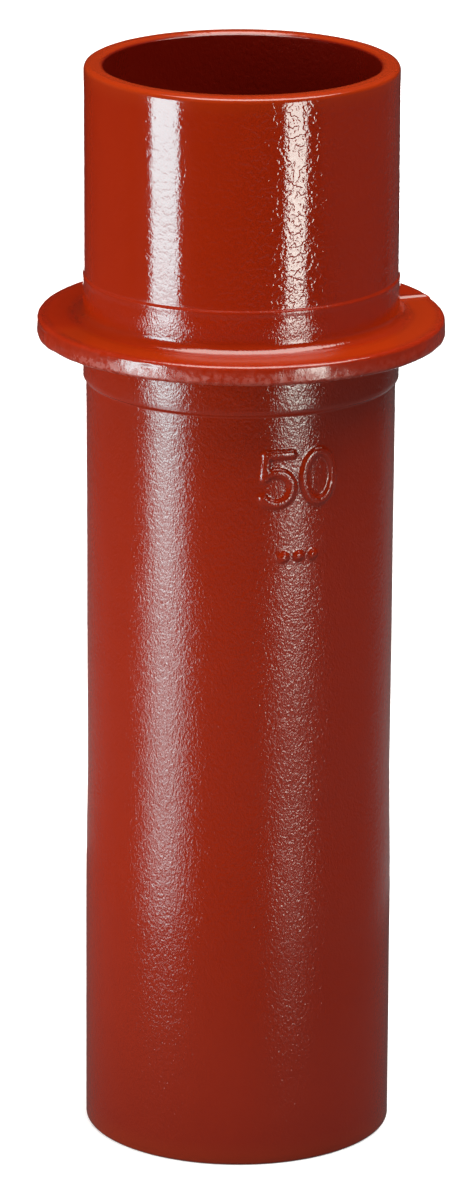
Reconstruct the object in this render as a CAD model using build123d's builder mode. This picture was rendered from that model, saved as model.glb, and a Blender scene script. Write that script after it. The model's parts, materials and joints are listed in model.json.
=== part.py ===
from build123d import *
from math import cos, radians, sin
import os

# Stack support pipe: a short cast-iron pipe with plain ends and a collar cast round it.
# A vertical drain pipe is clamped to each end, and the collar's underside sits on a
# wall bracket that carries the weight of the stack above.
# Millimetres. The pipe stands on its lower end, with its axis on +Z.

# Pipe
pipe_diameter = 58.0
wall = 3.5
lower_pipe_length = 153.75
upper_pipe_length = 47.5
end_chamfer = 0.6
bore_chamfer = 0.4

# The lower pipe is a little slimmer than the upper one, and slimmest at its waist.
# Each draft is what comes off the pipe's radius there.
lower_spigot_length = 45.0
lower_spigot_draft = 0.25
waist_height = 72.0
waist_draft = 0.55
barrel_draft = 0.3

# Collar
collar_projection = 8.75
collar_thickness = 3.75
collar_edge_radius = 0.75
root_radius = 1.5
seat_root_radius = 1.0

# Thickened necks above and below the collar
upper_neck_length = 7.0
upper_neck_rise = 0.45
upper_neck_taper = 1.3
lower_neck_length = 6.0
lower_neck_rise = 0.25
lower_neck_taper = 2.0

# Mould parting line: the two halves of the mould met slightly out of line at the
# collar, and left a thin ridge across its top face and its rim.
parting_angle = 24.0
mould_mismatch = 0.4
flash_height = 0.3
flash_width = 0.6

# Heights and radii worked out from the sizes above
pipe_radius = pipe_diameter / 2
bore_radius = pipe_radius - wall
wall_middle_radius = pipe_radius - wall / 2
seat_height = lower_pipe_length
collar_top = seat_height + collar_thickness
total_length = collar_top + upper_pipe_length
collar_radius = pipe_radius + collar_projection
core_radius = pipe_radius + collar_projection / 2
lower_spigot_radius = pipe_radius - lower_spigot_draft
waist_radius = pipe_radius - waist_draft
barrel_radius = pipe_radius - barrel_draft
lower_neck_radius = pipe_radius + lower_neck_rise
upper_neck_radius = pipe_radius + upper_neck_rise
lower_neck_start = seat_height - lower_neck_length
upper_neck_end = collar_top + upper_neck_length


def half_plane(angle, offset=0.0):
    """Upright plane through the pipe's axis, its x pointing outwards at this angle.

    The offset moves its origin along the mould's parting line, away from the axis."""
    outwards = Vector(cos(radians(angle)), sin(radians(angle)), 0)
    parting = Vector(cos(radians(parting_angle)), sin(radians(parting_angle)), 0)
    return Plane(
        origin=parting * offset,
        x_dir=outwards,
        z_dir=outwards.cross(Vector(0, 0, 1)),
    )


def corner(section, radius, height):
    """The corner of a section that lies at this radius and height."""
    here = Vector(radius, height, 0)
    return min(section.vertices(), key=lambda v: (Vector(v.X, v.Y, 0) - here).length)


with BuildPart() as support_pipe:
    # Pipe, necks and the core of the collar, turned about the axis
    with BuildSketch(Plane.XZ) as pipe_section:
        with BuildLine():
            Polyline(
                (0, 0),
                (lower_spigot_radius, 0),
                (lower_spigot_radius, lower_spigot_length),
                (waist_radius, waist_height),
                (barrel_radius, lower_neck_start - lower_neck_taper),
                (lower_neck_radius, lower_neck_start),
                (lower_neck_radius, seat_height),
                (core_radius, seat_height),
                (core_radius, collar_top),
                (upper_neck_radius, collar_top),
                (upper_neck_radius, upper_neck_end),
                (pipe_radius, upper_neck_end + upper_neck_taper),
                (pipe_radius, total_length),
                (0, total_length),
                close=True,
            )
        make_face()
        chamfer(corner(pipe_section, lower_spigot_radius, 0), end_chamfer)
        chamfer(corner(pipe_section, pipe_radius, total_length), end_chamfer)
        fillet(corner(pipe_section, lower_neck_radius, seat_height), seat_root_radius)
        fillet(corner(pipe_section, upper_neck_radius, collar_top), root_radius)
    revolve(axis=Axis.Z)

    # Collar, one half ring from each half of the mould
    for turn, offset in ((180, mould_mismatch / 2), (0, -mould_mismatch / 2)):
        half = half_plane(parting_angle + turn, offset)
        with BuildSketch(half) as collar_section:
            with BuildLine():
                Polyline(
                    (wall_middle_radius, seat_height),
                    (collar_radius, seat_height),
                    (collar_radius, collar_top),
                    (wall_middle_radius, collar_top),
                    close=True,
                )
            make_face()
            fillet(corner(collar_section, collar_radius, seat_height), collar_edge_radius)
            fillet(corner(collar_section, collar_radius, collar_top), collar_edge_radius)
        revolve(axis=Axis(half.origin, (0, 0, 1)), revolution_arc=180)

    # Flash along the parting line, across the top face and down the rim on both sides
    for turn in (0, 180):
        flash_reach = collar_radius + flash_height
        flash_top = collar_top + flash_height
        with BuildSketch(half_plane(parting_angle + turn)) as flash_section:
            with BuildLine():
                Polyline(
                    (wall_middle_radius, seat_height + collar_edge_radius),
                    (flash_reach, seat_height + collar_edge_radius),
                    (flash_reach, flash_top),
                    (wall_middle_radius, flash_top),
                    close=True,
                )
            make_face()
            outer_corner = corner(flash_section, flash_reach, flash_top)
            fillet(outer_corner, collar_edge_radius + flash_height)
        extrude(amount=flash_width / 2, both=True)

    # Bore from end to end, with the cut edge broken at both mouths
    with BuildSketch(Plane.XY):
        Circle(bore_radius)
    extrude(amount=total_length, mode=Mode.SUBTRACT)
    mouths = edges(Select.LAST).filter_by(GeomType.CIRCLE)
    chamfer(mouths, bore_chamfer)

support_pipe.part.label = "support_pipe"

os.makedirs("parts", exist_ok=True)
export_step(support_pipe.part, "parts/support_pipe.step")
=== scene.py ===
import bmesh
import bpy
import json
import math
import numpy as np
from mathutils import Euler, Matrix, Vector, noise


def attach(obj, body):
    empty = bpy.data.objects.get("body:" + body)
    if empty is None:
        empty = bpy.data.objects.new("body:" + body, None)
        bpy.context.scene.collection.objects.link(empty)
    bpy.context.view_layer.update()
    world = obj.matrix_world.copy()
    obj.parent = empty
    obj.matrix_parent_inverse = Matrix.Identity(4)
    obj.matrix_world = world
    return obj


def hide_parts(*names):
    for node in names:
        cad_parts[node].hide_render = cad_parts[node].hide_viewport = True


# A stack support pipe, cast in one piece and dipped in glossy red-brown paint.
# The casting is one mesh: the section of its wall, turned about the axis, with the small
# unevenness of a sand casting, the mould's parting line and a plain raised size mark.
# Sizes of the casting are in millimetres. The finished mesh, the noise in the paint, the
# lamps, the stage and the camera are in metres.

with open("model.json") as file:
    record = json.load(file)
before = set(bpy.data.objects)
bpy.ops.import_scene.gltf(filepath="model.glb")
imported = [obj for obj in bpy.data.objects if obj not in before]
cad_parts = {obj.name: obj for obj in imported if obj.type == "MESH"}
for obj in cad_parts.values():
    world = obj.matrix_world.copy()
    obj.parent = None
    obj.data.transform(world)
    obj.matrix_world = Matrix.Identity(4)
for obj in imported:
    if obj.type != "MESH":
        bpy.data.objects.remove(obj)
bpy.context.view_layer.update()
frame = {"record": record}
mounts = {mount["name"]: mount for mount in frame["record"]["mounts"]}
MM = 0.001

# Sizes taken from the frame
PIPE_RADIUS = mounts["upper_spigot"]["dims"]["r_mm"]
SPIGOT_RADIUS = mounts["lower_spigot"]["dims"]["r_mm"]
BORE_RADIUS = mounts["bore"]["dims"]["r_mm"]
SEAT_HEIGHT = mounts["collar_seat"]["pos_m"][2] / MM
LENGTH = mounts["upper_end"]["pos_m"][2] / MM

# Collar. Its top face drops a little towards the rim, and the rim leans in towards its top.
COLLAR_RADIUS = 37.62
COLLAR_THICKNESS = 3.75
COLLAR_DROP = 0.04
ROOT_ROUNDING = 2.1
RIM_ROUNDING = 0.75
RIM_DRAFT = 0.13
SEAT_ROUNDING = 1.0
# The rim is scuffed below this height above the seat, and its paler colour there is partly a
# painted sheen.
SCUFF_SHEEN_HEIGHT = 2.0
COLLAR_TOP = SEAT_HEIGHT + COLLAR_THICKNESS
RIM_TOP = COLLAR_TOP - COLLAR_DROP
RIM_TOP_RADIUS = COLLAR_RADIUS - RIM_DRAFT
SCUFF_SHEEN_TOP = SEAT_HEIGHT + SCUFF_SHEEN_HEIGHT

# Ends of the pipe. The outer edges are rounded, and the bore's upper mouth has a broken lip.
UPPER_END_ROUNDING = 1.15
LIP_WIDTH = 0.80
LIP_HEIGHT = 0.62
LIP_MARGIN = 0.4
LOWER_END_ROUNDING = 0.6
BORE_ROUNDING = 0.45
LIP_BOTTOM = LENGTH - LIP_HEIGHT
EDGE_HEIGHT = LENGTH - UPPER_END_ROUNDING
EDGE_RADIUS = PIPE_RADIUS - UPPER_END_ROUNDING

# Thickened necks above and below the collar. Each ends in a soft ledge.
UPPER_NECK_RADIUS = 29.28
UPPER_NECK_LENGTH = 7.65
SMOOTH_NECK_LENGTH = 2.8
UPPER_LEDGE_HEIGHT = 0.6
LOWER_NECK_RADIUS = 29.25
LOWER_NECK_LENGTH = 7.6
LOWER_LEDGE_HEIGHT = 0.7
UPPER_NECK_END = COLLAR_TOP + UPPER_NECK_LENGTH
LOWER_NECK_START = SEAT_HEIGHT - LOWER_NECK_LENGTH

# Lower pipe. It narrows down to a waist and widens again to the spigot.
BARREL_RADIUS = 28.7
UPPER_BARREL_END = 114.0
WAIST_RADIUS = 28.45
WAIST_HEIGHT = 72.0
SPIGOT_HEIGHT = 45.0

# Upper pipe. It is a trace wider than the lower one and leans a little to the left.
UPPER_SWELL = 0.08
UPPER_LEAN = -0.09
SWELL_BLEND = 1.0

# Mould parting line. The two halves of the mould met slightly out of line, with a ridge of
# flash between them. The rear half of the collar's top stands up a little beside it.
PARTING_ANGLE = 20.8
MISMATCH = 0.36
REAR_RISE = 0.50
LEFT_RISE_SHARE = 0.7
STEP_HALF_WIDTH = 0.32
LEFT_STEP_EXTRA = 2.2
FLASH_HEIGHT = 0.30
FLASH_HALF_WIDTH = 0.34
FLASH_MEAN = 0.85
FLASH_UNEVENNESS = 0.5
FLASH_LUMP_SIZE = 1.9
TOP_FLASH_SHARE = 0.35
LEFT_FLASH_SHARE = 0.12

# The step and the flash begin and are full at these distances out from the neck, and the
# flash also at these distances up from the seat. Their left and right sides run into each
# other up to this far across the middle, as a share of the radius.
FADE_FROM_NECK = (0.3, 2.0)
FADE_FROM_SEAT = (0.3, 1.2)
SIDE_BLEND = 0.5

# Raised size mark: where its middle is, how large it is and how far it stands out
MARK_AZIMUTH = -68.0
MARK_HEIGHT = 133.6
MARK_SCALE = 1.02
MARK_RELIEF = 0.45
MARK_MARGIN = 2.0
STROKE_HALF_WIDTH = 0.48
STROKE_SLOPE = 0.42
DOTS_HEIGHT = 118.8
DOT_SPACING = 2.9
DOT_RADIUS = 0.62

# Distance between the mesh's rings along each stretch, and how many a rounded stretch has
LINE_STEP = 1.35
BORE_STEP = 5.0
LIP_MARGIN_STEP = 0.1
LIP_STEP = 0.2
UPPER_END_STEP = 0.5
UPPER_END_RINGS = 9
LEDGE_MARGIN = 1.6
LEDGE_MARGIN_STEP = 0.2
LEDGE_RINGS = 7
UPPER_NECK_STEP = 0.5
ROOT_RINGS = 12
COLLAR_TOP_STEP = 0.5
RIM_RINGS = 6
RIM_STEP = 0.25
SEAT_STEP = 0.8
SEAT_ROOT_RINGS = 6
LOWER_NECK_STEP = 0.7
WAIST_RINGS = 20
LOWER_END_RINGS = 5
LOWER_END_STEP = 0.6
LOWER_MOUTH_RINGS = 4

# The rings and the lines down the pipe are closer together at the mark and at the flash
MARK_STEP = 0.3
MARK_REACH = 6.4
DOTS_REACH = 2.2
MARK_HALF_ANGLE = 19.0
FLASH_STEP = 0.12
FLASH_REACH = 1.3
FRONT_STEP = 0.8
BACK_STEP = 1.15
GRADING_SAMPLES = 4001

# What each stretch of the surface is like. Waves and lumps are how far it is uneven, in
# millimetres. Peel is the paint's orange peel and pits are small hollows in the paint, and
# both multiply the depths given with the paint. Then come the roughness, how scuffed the paint
# is, where its paler colour is partly a painted sheen, how much paler it is as painted light,
# and how dull it is, each from 0 to 1. The stretches run into each other, because
# each ring takes the mean of the rings that FINISH_BLEND counts on from it.
FINISH_KEYS = ("waves", "lumps", "peel", "pits", "roughness", "scuffs", "pale", "dull")
FINISHES = {
    "bore": (0.10, 0.05, 0.8, 0.5, 0.20, 0.0, 0.0, 0.0),
    "cut_end": (0.02, 0.01, 0.3, 0.2, 0.13, 0.0, 1.0, 0.0),
    "upper_pipe": (0.03, 0.0, 0.24, 0.6, 0.07, 0.0, 0.0, 0.0),
    "ledge": (0.03, 0.01, 0.6, 0.3, 0.22, 0.0, 0.0, 0.0),
    "upper_neck": (0.04, 0.01, 0.6, 0.9, 0.08, 0.0, 0.0, 0.0),
    "neck": (0.04, 0.02, 1.1, 0.8, 0.12, 0.0, 0.0, 0.0),
    "root": (0.03, 0.02, 0.4, 0.2, 0.12, 0.0, 0.3, 0.0),
    "collar_top": (0.05, 0.01, 0.25, 0.2, 0.16, 0.0, 1.0, 0.9),
    "rim": (0.06, 0.05, 0.5, 0.4, 0.11, 0.2, 0.0, 0.0),
    "scuffed_rim": (0.06, 0.10, 0.7, 0.8, 0.14, 1.0, 0.0, 0.0),
    "seat": (0.05, 0.03, 0.8, 0.5, 0.20, 0.0, 0.0, 0.0),
    "upper_barrel": (0.04, 0.012, 1.1, 0.6, 0.12, 0.0, 0.0, 0.0),
    "barrel": (0.04, 0.012, 1.55, 0.5, 0.13, 0.0, 0.0, 0.0),
    "lower_spigot": (0.03, 0.0, 1.4, 0.4, 0.13, 0.0, 0.0, 0.0),
}
MASK_KEYS = ("peel", "pits", "roughness", "scuffs", "pale", "dull")
FINISH_BLEND = (-2, -1, 0, 1, 2)


# Points along a section or round the axis

def graded(start, end, spacing):
    """Values from start up to end, where spacing(value) is the local distance between them."""
    fine = np.linspace(start, end, GRADING_SAMPLES)
    steps = np.abs(np.gradient(fine)) / np.array([spacing(v) for v in fine])
    travelled = np.concatenate([[0.0], np.cumsum((steps[1:] + steps[:-1]) / 2)])
    count = max(1, int(round(travelled[-1])))
    return np.interp(np.arange(count) / count * travelled[-1], travelled, fine)


def straight(start, end, step):
    """Points of a straight stretch from start up to end, which is left for the next one. step
    is the distance between them, or gives it at each height."""
    start = np.array(start, float)
    end = np.array(end, float)
    length = np.linalg.norm(end - start)
    if callable(step):
        shares = graded(0.0, length, lambda s: step(start[1] + (end[1] - start[1]) * s / length))
        shares = shares / length
    else:
        count = max(1, int(round(length / step)))
        shares = np.arange(count) / count
    return [tuple(start + (end - start) * share) for share in shares]


def rounded(centre, radius, first, last, count):
    """Points of an arc of the section, from the first angle up to the last, in degrees."""
    angles = np.radians(first + (last - first) * np.arange(count) / count)
    return [(centre[0] + radius * math.cos(a), centre[1] + radius * math.sin(a)) for a in angles]


def eased(start, end, count):
    """A soft step between two radii, from start up to end."""
    shares = np.arange(count) / count
    radii = start[0] + (end[0] - start[0]) * shares * shares * (3 - 2 * shares)
    heights = start[1] + (end[1] - start[1]) * shares
    return list(zip(radii, heights))


def barrel_step(height):
    """Distance between rings on the lower pipe: close together where the mark stands."""
    near_mark = abs(height - MARK_HEIGHT) < MARK_REACH
    near_dots = abs(height - DOTS_HEIGHT) < DOTS_REACH
    return MARK_STEP if near_mark or near_dots else LINE_STEP


def azimuth_step(azimuth):
    """Distance between the lines down the pipe, in degrees at its outside."""
    off_parting = (azimuth - PARTING_ANGLE + 90.0) % 180.0 - 90.0
    if abs(math.radians(off_parting)) * PIPE_RADIUS < FLASH_REACH:
        step = FLASH_STEP
    elif abs(azimuth - MARK_AZIMUTH) < MARK_HALF_ANGLE:
        step = MARK_STEP
    else:
        step = FRONT_STEP if azimuth < 0.0 else BACK_STEP
    return math.degrees(step / PIPE_RADIUS)


# The wall's section, as stretches of (radius, height) points, each with its finish

def section_of_upper_end():
    """Up the bore, over its broken lip, across the upper end and round its outer edge."""
    foot = (BORE_RADIUS, BORE_ROUNDING)
    below_lip = (BORE_RADIUS, LIP_BOTTOM - LIP_MARGIN)
    lip_bottom = (BORE_RADIUS, LIP_BOTTOM)
    lip_top = (BORE_RADIUS + LIP_WIDTH, LENGTH)
    edge_centre = (EDGE_RADIUS, EDGE_HEIGHT)
    return [
        ("bore", straight(foot, below_lip, BORE_STEP)),
        ("bore", straight(below_lip, lip_bottom, LIP_MARGIN_STEP)),
        ("cut_end", straight(lip_bottom, lip_top, LIP_STEP)),
        ("cut_end", straight(lip_top, (EDGE_RADIUS, LENGTH), UPPER_END_STEP)),
        ("cut_end", rounded(edge_centre, UPPER_END_ROUNDING, 90, 0, UPPER_END_RINGS)),
    ]


def section_of_upper_pipe():
    """Down the upper pipe, out over the ledge and down the neck to the collar's root."""
    edge = (PIPE_RADIUS, EDGE_HEIGHT)
    above_ledge = (PIPE_RADIUS, UPPER_NECK_END + LEDGE_MARGIN)
    ledge_top = (PIPE_RADIUS, UPPER_NECK_END + UPPER_LEDGE_HEIGHT)
    neck_top = (UPPER_NECK_RADIUS, UPPER_NECK_END)
    neck_middle = (UPPER_NECK_RADIUS, UPPER_NECK_END - SMOOTH_NECK_LENGTH)
    root_top = (UPPER_NECK_RADIUS, COLLAR_TOP + ROOT_ROUNDING)
    return [
        ("upper_pipe", straight(edge, above_ledge, LINE_STEP)),
        ("upper_pipe", straight(above_ledge, ledge_top, LEDGE_MARGIN_STEP)),
        ("ledge", eased(ledge_top, neck_top, LEDGE_RINGS)),
        ("upper_neck", straight(neck_top, neck_middle, UPPER_NECK_STEP)),
        ("neck", straight(neck_middle, root_top, UPPER_NECK_STEP)),
    ]


def section_of_collar():
    """Round the root above the collar, out over its top, down the rim, in along the seat and
    round the root below it."""
    root_centre = (UPPER_NECK_RADIUS + ROOT_ROUNDING, COLLAR_TOP + ROOT_ROUNDING)
    root_foot = (UPPER_NECK_RADIUS + ROOT_ROUNDING, COLLAR_TOP)
    top_edge = (RIM_TOP_RADIUS - RIM_ROUNDING, RIM_TOP)
    top_centre = (RIM_TOP_RADIUS - RIM_ROUNDING, RIM_TOP - RIM_ROUNDING)
    rim_top = (RIM_TOP_RADIUS, RIM_TOP - RIM_ROUNDING)
    rim_middle = (COLLAR_RADIUS - RIM_DRAFT / 2, SCUFF_SHEEN_TOP)
    rim_foot = (COLLAR_RADIUS, SEAT_HEIGHT + RIM_ROUNDING)
    foot_centre = (COLLAR_RADIUS - RIM_ROUNDING, SEAT_HEIGHT + RIM_ROUNDING)
    seat_edge = (COLLAR_RADIUS - RIM_ROUNDING, SEAT_HEIGHT)
    seat_root = (LOWER_NECK_RADIUS + SEAT_ROUNDING, SEAT_HEIGHT)
    seat_centre = (LOWER_NECK_RADIUS + SEAT_ROUNDING, SEAT_HEIGHT - SEAT_ROUNDING)
    return [
        ("root", rounded(root_centre, ROOT_ROUNDING, 180, 270, ROOT_RINGS)),
        ("collar_top", straight(root_foot, top_edge, COLLAR_TOP_STEP)),
        ("rim", rounded(top_centre, RIM_ROUNDING, 90, 0, RIM_RINGS)),
        ("rim", straight(rim_top, rim_middle, RIM_STEP)),
        ("scuffed_rim", straight(rim_middle, rim_foot, RIM_STEP)),
        ("scuffed_rim", rounded(foot_centre, RIM_ROUNDING, 0, -90, RIM_RINGS)),
        ("seat", straight(seat_edge, seat_root, SEAT_STEP)),
        ("neck", rounded(seat_centre, SEAT_ROUNDING, 90, 180, SEAT_ROOT_RINGS)),
    ]


def section_of_lower_pipe():
    """Down the lower neck, in over its ledge and down the barrel, waist and spigot."""
    neck_top = (LOWER_NECK_RADIUS, SEAT_HEIGHT - SEAT_ROUNDING)
    neck_foot = (LOWER_NECK_RADIUS, LOWER_NECK_START)
    ledge_foot = (BARREL_RADIUS, LOWER_NECK_START - LOWER_LEDGE_HEIGHT)
    below_ledge = (BARREL_RADIUS, LOWER_NECK_START - LEDGE_MARGIN)
    slope = (WAIST_RADIUS - BARREL_RADIUS) / (WAIST_HEIGHT - LOWER_NECK_START)
    middle = (BARREL_RADIUS + slope * (UPPER_BARREL_END - LOWER_NECK_START), UPPER_BARREL_END)
    waist = (WAIST_RADIUS, WAIST_HEIGHT)
    spigot_top = (SPIGOT_RADIUS, SPIGOT_HEIGHT)
    spigot_foot = (SPIGOT_RADIUS, LOWER_END_ROUNDING)
    return [
        ("neck", straight(neck_top, neck_foot, LOWER_NECK_STEP)),
        ("ledge", eased(neck_foot, ledge_foot, LEDGE_RINGS)),
        ("upper_barrel", straight(ledge_foot, below_ledge, LEDGE_MARGIN_STEP)),
        ("upper_barrel", straight(below_ledge, middle, barrel_step)),
        ("barrel", straight(middle, waist, LINE_STEP)),
        ("barrel", eased(waist, spigot_top, WAIST_RINGS)),
        ("lower_spigot", straight(spigot_top, spigot_foot, LINE_STEP)),
    ]


def section_of_lower_end():
    """Round the lower edge, in under the end and round the bore's lower mouth."""
    edge_radius = SPIGOT_RADIUS - LOWER_END_ROUNDING
    edge_centre = (edge_radius, LOWER_END_ROUNDING)
    mouth_radius = BORE_RADIUS + BORE_ROUNDING
    mouth_centre = (mouth_radius, BORE_ROUNDING)
    return [
        ("cut_end", rounded(edge_centre, LOWER_END_ROUNDING, 0, -90, LOWER_END_RINGS)),
        ("cut_end", straight((edge_radius, 0), (mouth_radius, 0), LOWER_END_STEP)),
        ("cut_end", rounded(mouth_centre, BORE_ROUNDING, 270, 180, LOWER_MOUTH_RINGS)),
    ]


def casting_section():
    """The wall's closed section as (radius, height, finish) points."""
    stretches = section_of_upper_end() + section_of_upper_pipe() + section_of_collar()
    stretches += section_of_lower_pipe() + section_of_lower_end()
    return [(r, z, finish) for finish, points in stretches for r, z in points]


# The raised mark, as strokes in millimetres across and up from its lower left corner

def arc_stroke(centre, radii, first, last, count=24):
    """Points of an elliptic stroke between two angles, in degrees."""
    angles = np.radians(np.linspace(first, last, count))
    across = centre[0] + radii[0] * np.cos(angles)
    up = centre[1] + radii[1] * np.sin(angles)
    return np.stack([across, up], 1)


MARK_SIZE = (14.6, 10.0)
FIVE = [
    np.array([(5.9, 9.6), (1.2, 9.6), (0.9, 5.3)]),
    arc_stroke((3.0, 3.35), (2.95, 2.95), 138, -145),
]
NOUGHT = [arc_stroke((11.2, 5.0), (2.95, 4.6), 0, 360, 40)]


def distance_to_stroke(points, stroke):
    """Distance of each point from a stroke's centre line."""
    nearest = np.full(len(points), np.inf)
    for a, b in zip(stroke[:-1], stroke[1:]):
        along = b - a
        share = np.clip((points - a) @ along / (along @ along), 0.0, 1.0)
        gap = np.linalg.norm(points - a - share[:, None] * along, axis=1)
        nearest = np.minimum(nearest, gap)
    return nearest


def soft_step(value, low, high):
    """0 below low, 1 above high and a smooth rise between them."""
    share = np.clip((value - low) / (high - low), 0.0, 1.0)
    return share * share * (3 - 2 * share)


def mark_relief(across, up):
    """How far the raised mark stands out at each place on the unrolled pipe."""
    places = np.stack([
        across / MARK_SCALE + MARK_SIZE[0] / 2,
        (up - MARK_HEIGHT) / MARK_SCALE + MARK_SIZE[1] / 2,
    ], 1)
    gap = np.min([distance_to_stroke(places, stroke) for stroke in FIVE + NOUGHT], axis=0)
    digits = 1.0 - soft_step(gap, STROKE_HALF_WIDTH, STROKE_HALF_WIDTH + STROKE_SLOPE)
    dots = np.zeros(len(across))
    for number in (-1, 0, 1):
        gap = np.hypot(across - number * DOT_SPACING, up - DOTS_HEIGHT)
        dots = np.maximum(dots, 1.0 - soft_step(gap, DOT_RADIUS, DOT_RADIUS + STROKE_SLOPE))
    return MARK_RELIEF * np.maximum(digits, dots)


# The casting's mesh

# Waves and lumps all over the casting: the size of each kind
WAVE_SIZE = 17.0
RIPPLE_SIZE = 4.5
RIPPLE_SHARE = 0.35
LUMP_SIZE = 2.4

# Lumps and pits on the collar's rim, as (azimuth, height above the seat, radius, relief)
RIM_SPOTS = [
    (-44.0, 3.5, 0.45, 0.25),
    (-117.0, 2.5, 0.50, -0.30),
    (-151.0, 2.3, 1.00, 0.22),
    (-143.0, 1.3, 0.80, 0.22),
    (-27.0, 2.0, 1.00, 0.22),
    (-36.0, 1.1, 0.70, 0.20),
]

# A vertex is on the pipe's outside if its normal points outwards at least this much and it
# lies this far outside the bore.
OUTWARD = 0.7
BORE_MARGIN = 1.0

# The upper pipe's pits are this many times their depth deeper everywhere but on the left of
# its front. They get deeper between these azimuths.
DEEP_PITS_RISE = (-93.0, -80.0)
DEEP_PITS_EXTRA = 2.0

# The rim's scuffs, whose paler colour is partly a painted sheen, are strongest at the front. That
# part fades in on the left between the first two azimuths and out on the right between the second
# two. Elsewhere it has this share.
SCUFF_SHEEN_LEFT = (-150.0, -133.0)
SCUFF_SHEEN_RIGHT = (-72.0, -48.0)
SCUFF_SHEEN_ELSEWHERE = 0.35

# On the collar's top, the paint along the right part of the flash isn't dull this far to
# each side. On the rear half, the painted light that makes the top paler is weaker by this share,
# as painted shade.
SHINE_HALF_WIDTH = 1.1
REAR_PAINTED_SHADE = 0.8

# The bore's darker colour, which is painted shade, starts to fade and is gone at these distances
# out from its wall.
BORE_SHADE_END = (0.1, 0.5)

# How far one seed of the noise is from the next along each axis, in sizes of its features
SEED_SHIFT = (31.7, 17.3, 7.9)


def rough(points, size, seed):
    """Smooth noise from -1 to 1 with features of this size, at each point."""
    shift = Vector([seed * step for step in SEED_SHIFT])
    return np.array([noise.noise(Vector(p) / size + shift) for p in points])


class EvenCasting:
    """The casting before anything uneven is added. Each array has one value for each vertex,
    ring after ring along the section and, in a ring, line after line round the axis."""

    def __init__(self):
        section = casting_section()
        radii = np.array([r for r, _, _ in section])
        heights = np.array([z for _, z, _ in section])
        azimuths = graded(-180.0, 180.0, azimuth_step)
        self.rings = len(section)
        self.lines = len(azimuths)
        self.radius = self.each(radii)
        self.height = self.each(heights)
        self.turn = np.tile(np.radians(azimuths), self.rings)
        self.azimuth = np.degrees(self.turn)
        across = self.radius * np.cos(self.turn)
        back = self.radius * np.sin(self.turn)
        self.places = np.stack([across, back, self.height], 1)

        # Normals of the section, pointing out of the metal
        run = np.roll(radii, -1) - np.roll(radii, 1)
        rise = np.roll(heights, -1) - np.roll(heights, 1)
        size = np.hypot(run, rise)
        self.normal_r = self.each(-rise / size)
        self.normal_z = self.each(run / size)
        self.upward = np.clip(self.normal_z, 0.0, 1.0)
        self.outside = (self.normal_r > OUTWARD) & (self.radius > BORE_RADIUS + BORE_MARGIN)

        self.finish = {}
        for number, key in enumerate(FINISH_KEYS):
            values = np.array([FINISHES[name][number] for _, _, name in section])
            blended = np.mean([np.roll(values, k) for k in FINISH_BLEND], axis=0)
            self.finish[key] = self.each(blended)

    def each(self, ring_values):
        """A value for each ring, as a value for each vertex."""
        return np.repeat(ring_values, self.lines)


class PartingLine:
    """Where each vertex lies by the mould's parting line: how far across it, and from 0 to 1
    whether it is on the collar, above the seat, on the right and in the front half."""

    def __init__(self, casting):
        neck = UPPER_NECK_RADIUS
        off_line = (casting.azimuth - PARTING_ANGLE + 90.0) % 180.0 - 90.0
        turn = casting.turn - math.radians(PARTING_ANGLE)
        start, full = FADE_FROM_NECK
        self.on_collar = soft_step(casting.radius, neck + start, neck + full)
        start, full = FADE_FROM_SEAT
        self.above_seat = soft_step(casting.height, SEAT_HEIGHT + start, SEAT_HEIGHT + full)
        self.across = np.radians(off_line) * casting.radius
        self.right = soft_step(np.cos(turn), -SIDE_BLEND, SIDE_BLEND)
        half_width = STEP_HALF_WIDTH + LEFT_STEP_EXTRA * (1.0 - self.right)
        self.front = soft_step(-np.sin(turn) * casting.radius / half_width, -1.0, 1.0)


def unevenness(casting):
    """Waves and lumps of a sand casting."""
    waves = rough(casting.places, WAVE_SIZE, seed=1)
    waves = waves + RIPPLE_SHARE * rough(casting.places, RIPPLE_SIZE, seed=2)
    lumps = rough(casting.places, LUMP_SIZE, seed=3)
    return casting.finish["waves"] * waves + casting.finish["lumps"] * lumps


def flash(casting, line):
    """The ridge along the parting line, which is lower on the left and on top."""
    lumps = rough(casting.places, FLASH_LUMP_SIZE, seed=4)
    height = FLASH_HEIGHT * (FLASH_MEAN + FLASH_UNEVENNESS * lumps)
    height *= LEFT_FLASH_SHARE + (1.0 - LEFT_FLASH_SHARE) * line.right
    height *= 1.0 + (TOP_FLASH_SHARE - 1.0) * casting.upward
    ridge = np.exp(-(line.across / FLASH_HALF_WIDTH) ** 2)
    return line.on_collar * line.above_seat * ridge * height


def rear_rise(casting, line):
    """How far the rear half of the collar's top stands up."""
    side_share = LEFT_RISE_SHARE + (1.0 - LEFT_RISE_SHARE) * line.right
    return line.on_collar * REAR_RISE * (1.0 - line.front) * side_share * casting.upward


def rim_spot(casting, azimuth, above_seat, size, relief):
    """One lump or pit on the collar's rim."""
    across = np.radians((casting.azimuth - azimuth + 180.0) % 360.0 - 180.0) * casting.radius
    up = casting.height - SEAT_HEIGHT - above_seat
    gap = np.sqrt(across ** 2 + up ** 2 + (casting.radius - COLLAR_RADIUS) ** 2)
    return relief * np.exp(-(gap / size) ** 2)


def size_mark(casting):
    """The raised size mark, which is worked out only near its place."""
    across = np.radians(casting.azimuth - MARK_AZIMUTH) * casting.radius
    half_width = MARK_SCALE * MARK_SIZE[0] / 2 + MARK_MARGIN
    lowest = DOTS_HEIGHT - MARK_MARGIN
    highest = MARK_HEIGHT + MARK_SCALE * MARK_SIZE[1] / 2 + MARK_MARGIN
    near = casting.outside & (np.abs(across) < half_width)
    near &= (casting.height > lowest) & (casting.height < highest)
    relief = np.zeros(len(across))
    relief[near] = mark_relief(across[near], casting.height[near])
    return relief


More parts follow.
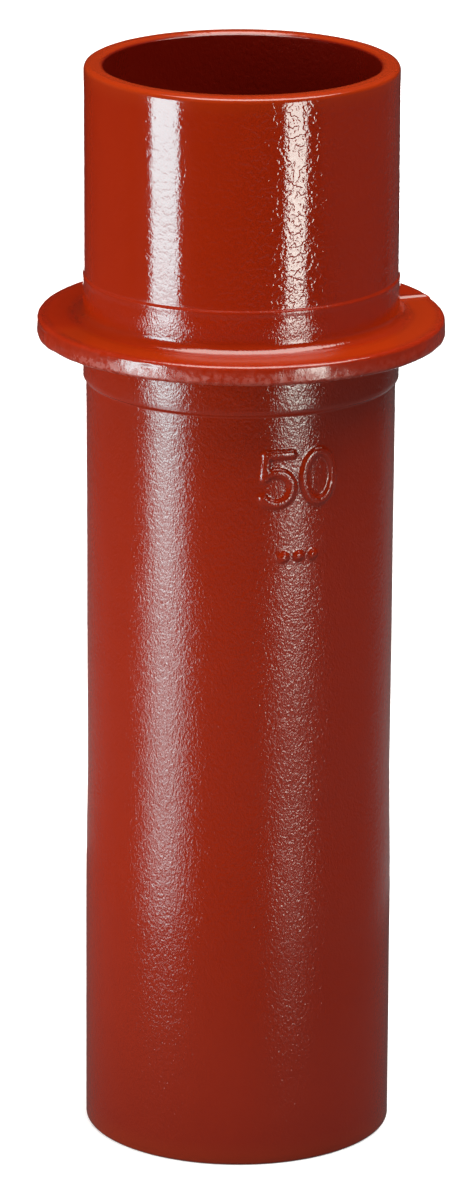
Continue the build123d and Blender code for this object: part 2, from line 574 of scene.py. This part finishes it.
def upper_swell(casting):
    """How much wider the upper pipe is."""
    lowest = UPPER_NECK_END - SWELL_BLEND
    highest = UPPER_NECK_END + SWELL_BLEND
    return UPPER_SWELL * (soft_step(casting.height, lowest, highest) * casting.outside)


def casting_faces(rings, lines):
    """Faces between each ring and the next, all the way round."""
    first = np.arange(rings)[:, None] * lines + np.arange(lines)[None, :]
    below = np.roll(first, -1, axis=0)
    faces = np.stack([first, below, np.roll(below, -1, axis=1), np.roll(first, -1, axis=1)], -1)
    return faces.reshape(-1, 4)


def paint_masks(casting, line):
    """How the paint varies over the casting, as one value for each vertex."""
    masks = {key: casting.finish[key] for key in MASK_KEYS}
    deeper = DEEP_PITS_EXTRA * soft_step(casting.azimuth, *DEEP_PITS_RISE)
    masks["pits"] = masks["pits"] * (1.0 + deeper * (casting.height > UPPER_NECK_END))
    # The rim's scuffs, whose paler colour is partly a painted sheen, are strongest at the front.
    on_front = soft_step(casting.azimuth, *SCUFF_SHEEN_LEFT)
    on_front = on_front * (1.0 - soft_step(casting.azimuth, *SCUFF_SHEEN_RIGHT))
    masks["scuffs"] = masks["scuffs"] * (SCUFF_SHEEN_ELSEWHERE + (1.0 - SCUFF_SHEEN_ELSEWHERE) * on_front)
    shine = line.right * np.exp(-(line.across / SHINE_HALF_WIDTH) ** 2)
    masks["dull"] = masks["dull"] * (1.0 - shine)
    # The rear half of the collar's top gets less of the painted light, as painted shade.
    masks["pale"] = masks["pale"] * (1.0 - REAR_PAINTED_SHADE * line.on_collar * (1.0 - line.front))
    # A darker colour in the bore: painted shade.
    start, full = BORE_SHADE_END
    masks["inside"] = 1.0 - soft_step(casting.radius, BORE_RADIUS + start, BORE_RADIUS + full)
    return masks


def casting_mesh():
    """The whole casting as vertices in metres, faces, and the paint's masks. The collar's
    halves are moved along the parting line, and the upper pipe leans."""
    casting = EvenCasting()
    line = PartingLine(casting)
    out = unevenness(casting)
    out += flash(casting, line)
    out += rear_rise(casting, line)
    for spot in RIM_SPOTS:
        out += rim_spot(casting, *spot)
    out += size_mark(casting)
    out += upper_swell(casting)

    parting = math.radians(PARTING_ANGLE)
    shift = MISMATCH * (line.front - 0.5) * line.on_collar
    lean = UPPER_LEAN * soft_step(casting.height, COLLAR_TOP, LENGTH)
    radius = casting.radius + out * casting.normal_r
    vertices = np.stack([
        radius * np.cos(casting.turn) + shift * math.cos(parting) + lean,
        radius * np.sin(casting.turn) + shift * math.sin(parting),
        np.clip(casting.height + out * casting.normal_z, 0.0, LENGTH),
    ], 1)
    return vertices * MM, casting_faces(casting.rings, casting.lines), paint_masks(casting, line)


def make_casting():
    """The casting as one smooth-shaded object, in place of the CAD node."""
    vertices, faces, masks = casting_mesh()
    mesh = bpy.data.meshes.new("support_pipe_casting")
    mesh.from_pydata(vertices.tolist(), [], faces.tolist())
    mesh.polygons.foreach_set("use_smooth", [True] * len(mesh.polygons))
    for name, values in masks.items():
        attribute = mesh.attributes.new(name, "FLOAT", "POINT")
        attribute.data.foreach_set("value", values.astype(np.float32))
    mesh.update()
    casting = bpy.data.objects.new("support_pipe_casting", mesh)
    bpy.context.scene.collection.objects.link(casting)
    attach(casting, "root")
    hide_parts("support_pipe")
    return casting


# Paint. Sizes of patterns are in metres and depths in millimetres. A range says where a
# noise from 0 to 1 starts to show and where it shows in full.

PAINT_COLOR = (0.325, 0.0168, 0.0018, 1.0)
PAINT_DEEP = (0.300, 0.0142, 0.0013, 1.0)
# Paler colour of the cut ends and the collar's top: painted light, as where the top lamps light
# them.
PAINTED_LIGHT_COLOR = (0.340, 0.0260, 0.0025, 1.0)
# Darker colour in the bore: painted shade.
BORE_SHADE_COLOR = (0.15, 0.0045, 0.0008, 1.0)
COLOR_SIZE = 0.004
COLOR_DETAIL = 4.0
# Colour of the scuffs on the rim: worn paint, and partly a painted sheen.
SCUFF_AND_SHEEN_COLOR = (0.420, 0.0620, 0.0400, 1.0)
SCUFF_ROUGHNESS = 0.46
SCUFF_SIZE = 0.0010
SCUFF_DETAIL = 3.0
SCUFF_RANGE = (0.26, 0.74)
RELIEF_DETAIL = 1.0
PEEL_SIZE = 0.00025
PEEL_DEPTH = 0.036
PEEL_STRETCH = 0.63
COARSE_SIZE = 0.00055
COARSE_DEPTH = 0.036
PIT_SIZE = 0.0010
PIT_DEPTH = 0.013
PIT_RANGE = (0.46, 0.66)


def add_node(tree, kind, **settings):
    """A new shader node with these settings."""
    node = tree.nodes.new(kind)
    for name, value in settings.items():
        setattr(node, name, value)
    return node


def make_noise(tree, coordinates, size, detail):
    """Noise with features of this size, in metres."""
    node = add_node(tree, "ShaderNodeTexNoise")
    node.inputs["Scale"].default_value = 1.0 / size
    node.inputs["Detail"].default_value = detail
    tree.links.new(coordinates, node.inputs["Vector"])
    return node.outputs["Fac"]


def mask(tree, name):
    """One of the casting's masks."""
    return add_node(tree, "ShaderNodeAttribute", attribute_name=name).outputs["Fac"]


def only_above(tree, value, low, high):
    """0 where the value is below low, 1 where it is above high, and smooth between them."""
    node = add_node(tree, "ShaderNodeMapRange", interpolation_type="SMOOTHSTEP")
    node.inputs["From Min"].default_value = low
    node.inputs["From Max"].default_value = high
    tree.links.new(value, node.inputs["Value"])
    return node.outputs["Result"]


def math_node(tree, operation, *values):
    """The result of one operation. Each value is a number or the output of a node."""
    node = add_node(tree, "ShaderNodeMath", operation=operation)
    for socket, value in zip(node.inputs, values):
        if isinstance(value, float):
            socket.default_value = value
        else:
            tree.links.new(value, socket)
    return node.outputs["Value"]


def blend(tree, factor, below, above):
    """One colour over another. below is a colour or the output of a node."""
    node = add_node(tree, "ShaderNodeMix", data_type="RGBA")
    tree.links.new(factor, node.inputs["Factor"])
    if isinstance(below, tuple):
        node.inputs["A"].default_value = below
    else:
        tree.links.new(below, node.inputs["A"])
    node.inputs["B"].default_value = above
    return node.outputs["Result"]


def paint_scuffs_and_sheen(tree, coordinates):
    """How scuffed the paint is, in flakes on the collar's rim. Their paler colour is worn paint
    and partly a painted sheen.
    """
    pattern = make_noise(tree, coordinates, SCUFF_SIZE, SCUFF_DETAIL)
    flakes = only_above(tree, pattern, *SCUFF_RANGE)
    return math_node(tree, "MULTIPLY", flakes, mask(tree, "scuffs"))


def paint_color(tree, coordinates, scuffs):
    """A slightly uneven red-brown. It is paler and more orange on the cut ends and the collar's
    top as painted light, darker in the bore as painted shade, and chalky where it is scuffed,
    which is partly a painted sheen."""
    variation = make_noise(tree, coordinates, COLOR_SIZE, COLOR_DETAIL)
    color = blend(tree, variation, PAINT_DEEP, PAINT_COLOR)
    color = blend(tree, mask(tree, "pale"), color, PAINTED_LIGHT_COLOR)
    color = blend(tree, mask(tree, "inside"), color, BORE_SHADE_COLOR)
    return blend(tree, scuffs, color, SCUFF_AND_SHEEN_COLOR)


def paint_roughness(tree, scuffs):
    """The roughness of each stretch, and a duller one where the paint is scuffed."""
    node = add_node(tree, "ShaderNodeMix", data_type="FLOAT")
    node.inputs["B"].default_value = SCUFF_ROUGHNESS
    tree.links.new(scuffs, node.inputs["Factor"])
    tree.links.new(mask(tree, "roughness"), node.inputs["A"])
    return node.outputs["Result"]


def paint_peel(tree, coordinates):
    """Height of the orange peel. The paint ran down a little before it was dry, so the peel
    is drawn out along the pipe."""
    stretch = add_node(tree, "ShaderNodeVectorMath", operation="MULTIPLY")
    stretch.inputs[1].default_value = (1.0, 1.0, PEEL_STRETCH)
    tree.links.new(coordinates, stretch.inputs[0])
    drawn_out = stretch.outputs["Vector"]
    fine = make_noise(tree, drawn_out, PEEL_SIZE, RELIEF_DETAIL)
    fine = math_node(tree, "MULTIPLY", fine, PEEL_DEPTH)
    coarse = make_noise(tree, drawn_out, COARSE_SIZE, RELIEF_DETAIL)
    ripples = math_node(tree, "MULTIPLY_ADD", coarse, COARSE_DEPTH, fine)
    return math_node(tree, "MULTIPLY", ripples, mask(tree, "peel"))


def paint_normal(tree, coordinates):
    """Normal of the paint's surface, with its orange peel and its pits."""
    pattern = make_noise(tree, coordinates, PIT_SIZE, RELIEF_DETAIL)
    hollows = math_node(tree, "MULTIPLY", only_above(tree, pattern, *PIT_RANGE), -PIT_DEPTH)
    peel = paint_peel(tree, coordinates)
    relief = math_node(tree, "MULTIPLY_ADD", hollows, mask(tree, "pits"), peel)
    bump = add_node(tree, "ShaderNodeBump")
    bump.inputs["Distance"].default_value = MM
    tree.links.new(relief, bump.inputs["Height"])
    return bump.outputs["Normal"]


def make_paint():
    """Glossy enamel, which is duller on the collar's top."""
    material = bpy.data.materials.new("red_brown_enamel")
    material.use_nodes = True
    tree = material.node_tree
    shader = tree.nodes["Principled BSDF"]
    coordinates = add_node(tree, "ShaderNodeTexCoord").outputs["Object"]
    sheen = math_node(tree, "SUBTRACT", 1.0, mask(tree, "dull"))
    scuffs = paint_scuffs_and_sheen(tree, coordinates)
    tree.links.new(sheen, shader.inputs["Specular IOR Level"])
    tree.links.new(paint_color(tree, coordinates, scuffs), shader.inputs["Base Color"])
    tree.links.new(paint_roughness(tree, scuffs), shader.inputs["Roughness"])
    tree.links.new(paint_normal(tree, coordinates), shader.inputs["Normal"])
    return material


# Lamps

# The upright lamps stand at this distance from the axis. The three softboxes among them
# start at the same height, and the one behind the pipe is lower than the two in front.
SOFTBOX_DISTANCE = 1.0
SOFTBOX_LOW = -0.5
SOFTBOX_HIGH = 0.18
BACK_SOFTBOX_HIGH = -0.03

# Brightness of each upright softbox from its lower edge up, as (height in metres, share).
# Above the last height it stays as it is there.
LEFT_PROFILE = [
    (-0.500, 0.32), (-0.275, 0.36), (-0.258, 0.50), (-0.241, 0.15), (-0.224, 0.09), (-0.207, 0.32),
    (-0.190, 0.29), (-0.173, 0.12), (-0.159, 0.38), (-0.146, 0.84), (-0.129, 0.59), (-0.105, 0.54),
    (-0.080, 0.90), (-0.050, 1.0), (-0.030, 1.0),
]
RIGHT_PROFILE = [
    (-0.500, 0.0), (-0.293, 0.01), (-0.275, 0.02), (-0.258, 0.04), (-0.241, 0.07), (-0.224, 0.13),
    (-0.190, 0.12), (-0.173, 0.0), (-0.159, 0.03), (-0.146, 0.14), (-0.129, 0.0), (-0.115, 0.02),
    (-0.105, 0.16), (-0.096, 0.60), (-0.088, 1.0), (-0.060, 0.97), (-0.048, 0.92), (-0.030, 0.80),
]
BACK_PROFILE = [(-0.500, 0.4), (-0.200, 0.6), (-0.080, 1.0)]

# Colours of the lamps
WHITE = (1.0, 1.0, 1.0)
BLUISH = (0.64, 0.96, 1.0)
GREENISH = (0.92, 1.0, 0.92)
WARM = (1.0, 0.95, 0.88)

# Panels that fill the shadows, as (name, place, radiance)
FILL_SIZE = (1.0, 1.0)
FILL_PANELS = [
    ("left_fill", (-1.1, 0.45, 0.15), 1.9),
    ("front_left_fill", (-1.04, -0.6, 0.1), 3.25),
    ("right_fill", (1.09, -0.4, -0.35), 0.4),
    ("back_fill", (0.5, 1.2, 0.4), 0.9),
    ("top_back_fill", (0.1, 0.6, 1.0), 1.1),
]


def lamp(name, size, radiance, color):
    """A rectangular lamp at the origin that shines down and that the camera doesn't see."""
    data = bpy.data.lights.new(name, "AREA")
    data.shape = "RECTANGLE"
    data.size, data.size_y = size
    data.energy = radiance * math.pi * size[0] * size[1]
    data.color = color
    light = bpy.data.objects.new(name, data)
    light.visible_camera = False
    bpy.context.scene.collection.objects.link(light)
    return light


def softbox(name, azimuth, low, high, width, radiance, color):
    """An upright lamp that faces the pipe, azimuth degrees to the left of the camera.
    low and high are the heights of its lower and upper edge."""
    light = lamp(name, (width, high - low), radiance, color)
    turn = math.radians(azimuth)
    across = -SOFTBOX_DISTANCE * math.sin(turn)
    back = -SOFTBOX_DISTANCE * math.cos(turn)
    light.location = (across, back, (low + high) / 2)
    light.rotation_euler = (math.radians(90), 0, -turn)
    return light


def fade(light, low, high, profile):
    """Make a softbox as bright at each height as the profile says."""
    light.data.use_nodes = True
    tree = light.data.node_tree
    across = add_node(tree, "ShaderNodeNewGeometry").outputs["Parametric"]
    split = add_node(tree, "ShaderNodeSeparateXYZ")
    tree.links.new(across, split.inputs["Vector"])
    ramp = add_node(tree, "ShaderNodeValToRGB")
    stops = ramp.color_ramp.elements
    places = []
    for height, share in profile:
        places.append(((height - low) / (high - low), (share, share, share, 1.0)))
    stops[0].position, stops[0].color = places[0]
    stops[1].position, stops[1].color = places[-1]
    for position, color in places[1:-1]:
        stops.new(position).color = color
    tree.links.new(split.outputs["Y"], ramp.inputs["Fac"])
    tree.links.new(ramp.outputs["Color"], tree.nodes["Emission"].inputs["Strength"])


def make_softboxes():
    """Upright softboxes for the long highlights, two faint cards for the pipe's edges, and a
    softbox overhead for the upper faces."""
    low = SOFTBOX_LOW
    high = SOFTBOX_HIGH
    left = softbox("left_softbox", 57.2, low, high, width=0.385, radiance=9.7, color=BLUISH)
    fade(left, low, high, LEFT_PROFILE)
    right = softbox("right_softbox", -39.5, low, high, width=0.25, radiance=10.2, color=GREENISH)
    fade(right, low, high, RIGHT_PROFILE)
    high = BACK_SOFTBOX_HIGH
    back = softbox("back_softbox", 180.0, low, high, width=0.28, radiance=6.0, color=WHITE)
    fade(back, low, high, BACK_PROFILE)
    softbox("edge_card", -148.0, low=-0.4, high=0.1, width=0.5, radiance=0.05, color=WHITE)
    softbox("right_card", -97.0, low=-0.12, high=0.3, width=1.6, radiance=0.042, color=WHITE)
    overhead = lamp("overhead_softbox", size=(1.4, 0.8), radiance=4.7, color=WARM)
    overhead.location = (0.2, -0.25, 1.10)


def make_fills():
    """Lamps that fill the shadows and stay out of the enamel's reflections: one overhead, and
    panels turned to the middle of the pipe."""
    top_fill = lamp("top_fill", FILL_SIZE, radiance=1.65, color=WHITE)
    top_fill.location = (0.35, -0.1, 1.15)
    top_fill.visible_glossy = False
    middle = Vector((0, 0, LENGTH * MM / 2))
    for name, place, radiance in FILL_PANELS:
        light = lamp(name, FILL_SIZE, radiance, WHITE)
        light.location = place
        light.rotation_euler = (Vector(place) - middle).to_track_quat("Z", "Y").to_euler()
        light.visible_glossy = False


# How strong the room's light is from above and from low down. One runs into the other
# between these slopes of a direction, where -1 is straight down and 0 is level.
ROOM_ABOVE = 0.012
ROOM_BELOW = 0.13
ROOM_SLOPES = (-0.36, -0.23)

# Behind the pipe, what the low part has more than the upper one grows by this share of
# itself. It grows between these parts of a direction, where 1 is straight back.
ROOM_BEHIND = 1.3
BEHIND_RISE = (0.4, 1.0)


def make_room():
    """A dark room, a little paler low down, where the enamel mirrors it."""
    world = bpy.data.worlds.new("studio")
    world.use_nodes = True
    tree = world.node_tree
    split = add_node(tree, "ShaderNodeSeparateXYZ")
    direction = add_node(tree, "ShaderNodeTexCoord").outputs["Generated"]
    tree.links.new(direction, split.inputs["Vector"])
    upward = only_above(tree, split.outputs["Z"], *ROOM_SLOPES)
    more_below = ROOM_BELOW - ROOM_ABOVE
    low_part = math_node(tree, "MULTIPLY_ADD", upward, -more_below, more_below)
    behind = only_above(tree, split.outputs["Y"], *BEHIND_RISE)
    behind = math_node(tree, "MULTIPLY_ADD", behind, ROOM_BEHIND, 1.0)
    strength = math_node(tree, "MULTIPLY_ADD", low_part, behind, ROOM_ABOVE)
    background = tree.nodes["Background"]
    background.inputs["Color"].default_value = (1.0, 1.0, 1.0, 1.0)
    tree.links.new(strength, background.inputs["Strength"])
    bpy.context.scene.world = world


# Stage. The paint in the photograph mirrors the lamps low down and a dark room, and no pale
# floor, so the floor and the backdrop neither show in the enamel nor light or shade it.

PALE_STAGE_HIDDEN_FROM = ("glossy", "diffuse", "shadow")
FLOOR_HALF = 30.0
FLOOR_ALBEDO = 0.8
BACKDROP_RADIUS = FLOOR_HALF * 0.95
BACKDROP_HEIGHT = 30.0
BACKDROP_SIDES = 64

# The floor's own glow is this much up to the first distance, and full from the second on.
FLOOR_NEAR_GLOW = 0.45
FLOOR_NEAR = 0.12
FLOOR_FAR = 0.9

# The table is round, with its middle a little to the left and its top under the floor.
TABLE_RADIUS = 0.153
TABLE_SHIFT = -0.03
TABLE_DEPTH = 0.0005
TABLE_GLOW = 0.10
TABLE_SIDES = 96


def stage_material(name, albedo, glow, specular, roughness=0.5):
    """A plain grey surface with a white glow."""
    material = bpy.data.materials.new(name)
    material.use_nodes = True
    shader = material.node_tree.nodes["Principled BSDF"]
    shader.inputs["Base Color"].default_value = (albedo, albedo, albedo, 1.0)
    shader.inputs["Roughness"].default_value = roughness
    shader.inputs["Specular IOR Level"].default_value = specular
    shader.inputs["Emission Color"].default_value = (1.0, 1.0, 1.0, 1.0)
    shader.inputs["Emission Strength"].default_value = glow
    return material


def stage_piece(name, mesh, material, hidden_from):
    """A piece of the stage, which these kinds of rays pass through."""
    mesh.materials.append(material)
    piece = bpy.data.objects.new(name, mesh)
    bpy.context.scene.collection.objects.link(piece)
    for kind in hidden_from:
        setattr(piece, "visible_" + kind, False)
    return piece


def make_floor():
    """A wide white floor, lit by the lamps near the pipe and glowing by itself further off."""
    half = FLOOR_HALF
    corners = [(-half, -half, 0), (half, -half, 0), (half, half, 0), (-half, half, 0)]
    mesh = bpy.data.meshes.new("floor")
    mesh.from_pydata(corners, [], [(0, 1, 2, 3)])
    material = stage_material("white_floor", FLOOR_ALBEDO, glow=1.0, specular=0.0, roughness=1.0)
    tree = material.node_tree
    place = add_node(tree, "ShaderNodeTexCoord").outputs["Object"]
    distance = add_node(tree, "ShaderNodeVectorMath", operation="LENGTH")
    tree.links.new(place, distance.inputs[0])
    glow = add_node(tree, "ShaderNodeMapRange", interpolation_type="SMOOTHSTEP")
    glow.inputs["From Min"].default_value = FLOOR_NEAR
    glow.inputs["From Max"].default_value = FLOOR_FAR
    glow.inputs["To Min"].default_value = FLOOR_NEAR_GLOW
    tree.links.new(distance.outputs["Value"], glow.inputs["Value"])
    shader = tree.nodes["Principled BSDF"]
    tree.links.new(glow.outputs["Result"], shader.inputs["Emission Strength"])
    return stage_piece("floor", mesh, material, PALE_STAGE_HIDDEN_FROM)


def make_backdrop():
    """A white wall all round the floor, for a camera that looks level and sees that far."""
    bm = bmesh.new()
    bmesh.ops.create_cone(
        bm,
        segments=BACKDROP_SIDES,
        radius1=BACKDROP_RADIUS,
        radius2=BACKDROP_RADIUS,
        depth=BACKDROP_HEIGHT,
        cap_ends=False,
    )
    mesh = bpy.data.meshes.new("backdrop")
    bm.to_mesh(mesh)
    bm.free()
    material = stage_material("white_backdrop", albedo=0.0, glow=1.0, specular=0.5)
    return stage_piece("backdrop", mesh, material, PALE_STAGE_HIDDEN_FROM)


def make_table():
    """The dark edge of the small table that the pipe stands on, just under the floor. The
    camera doesn't see it, but it hides the lower part of the lamps from the pipe's foot."""
    bm = bmesh.new()
    bmesh.ops.create_circle(bm, cap_ends=True, segments=TABLE_SIDES, radius=TABLE_RADIUS)
    bmesh.ops.translate(bm, verts=bm.verts, vec=(TABLE_SHIFT, 0.0, -TABLE_DEPTH))
    mesh = bpy.data.meshes.new("table")
    bm.to_mesh(mesh)
    bm.free()
    material = stage_material("dark_table", albedo=0.0, glow=TABLE_GLOW, specular=0.0)
    return stage_piece("table", mesh, material, hidden_from=("camera",))


# Camera

CAMERA_DISTANCE = 1.2898
CAMERA_HEIGHT = 0.4987
CAMERA_SIDE = -0.0004
CAMERA_PITCH = 17.092
CAMERA_ROLL = 0.33
CAMERA_LENS = 216.36
CAMERA_SENSOR = 36.0
CAMERA_REACH = 200.0


def make_camera():
    """The photograph's camera: a long lens, looking slightly down and a little off level."""
    data = bpy.data.cameras.new("camera")
    data.sensor_fit = "VERTICAL"
    data.sensor_height = CAMERA_SENSOR
    data.lens = CAMERA_LENS
    data.clip_end = CAMERA_REACH
    camera = bpy.data.objects.new("camera", data)
    camera.location = (CAMERA_SIDE, -CAMERA_DISTANCE, CAMERA_HEIGHT)
    pitch = Euler((math.radians(90.0 - CAMERA_PITCH), 0.0, 0.0)).to_matrix()
    roll = Euler((0.0, 0.0, math.radians(CAMERA_ROLL))).to_matrix()
    camera.rotation_euler = (pitch @ roll).to_euler()
    bpy.context.scene.collection.objects.link(camera)
    bpy.context.scene.camera = camera
    return camera


casting = make_casting()
casting.data.materials.append(make_paint())
make_softboxes()
make_fills()
make_room()
make_floor()
make_backdrop()
make_table()
make_camera()
bpy.context.scene.view_settings.view_transform = "Standard"
